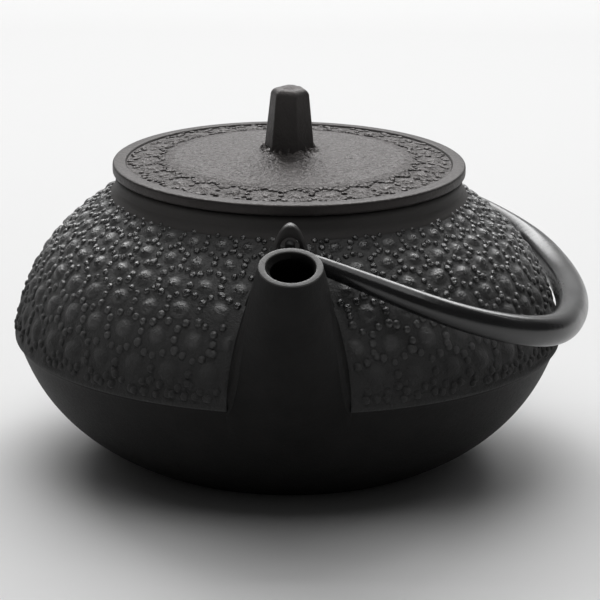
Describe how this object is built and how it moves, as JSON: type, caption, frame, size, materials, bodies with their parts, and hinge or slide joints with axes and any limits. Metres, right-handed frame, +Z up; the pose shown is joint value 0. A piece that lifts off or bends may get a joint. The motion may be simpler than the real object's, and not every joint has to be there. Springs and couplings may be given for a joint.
{
  "type": "teapot",
  "caption": "Low round cast-iron teapot with hobnail shoulder, tapered spout, domed lid with faceted knob, lift-out infuser and a bail handle that swings from side to side.",
  "frame": {"origin": "centre of the flat foot, on the table", "axes": "+Z up along the pot's axis, -Y towards the spout, +X towards the side where the handle lies folded"},
  "size_m": [0.1678, 0.1802, 0.1096],
  "materials": {
    "cast_iron": "matt black iron with fine casting grain",
    "bail_black": "satin black coating on steel",
    "fastener_steel": "plain steel",
    "infuser_steel": "pressed stainless sheet",
    "infuser_mesh": "woven stainless wire"
  },
  "bodies": {
    "pot": {"pot_base": "cast_iron", "pot_bowl": "cast_iron", "pot_shoulder": "cast_iron", "pot_neck": "cast_iron", "spout": "cast_iron", "lug_front": "cast_iron", "lug_rear": "cast_iron"},
    "handle": {"handle_tube": "bail_black", "handle_hook_front": "bail_black", "handle_hook_rear": "bail_black"},
    "infuser": {"infuser_rim": "infuser_steel", "infuser_wall": "infuser_mesh", "infuser_floor": "infuser_mesh", "infuser_band": "infuser_steel"},
    "lid": {"lid_plate": "cast_iron", "lid_knob": "cast_iron", "knob_screw": "fastener_steel", "knob_washer": "fastener_steel"}
  },
  "joints": [
    {"name": "handle_swing", "type": "hinge", "parent": "pot", "child": "handle", "pos_m": [0, 0, 0.0772], "axis": [0, -1, 0], "range_deg": [0, 219.2]},
    {"name": "infuser_lift", "type": "slide", "parent": "pot", "child": "infuser", "axis": [0, 0, 1], "range_m": [0, 0.075]},
    {"name": "lid_lift", "type": "slide", "parent": "infuser", "child": "lid", "axis": [0, 0, 1], "range_m": [0, 0.08]}
  ]
}
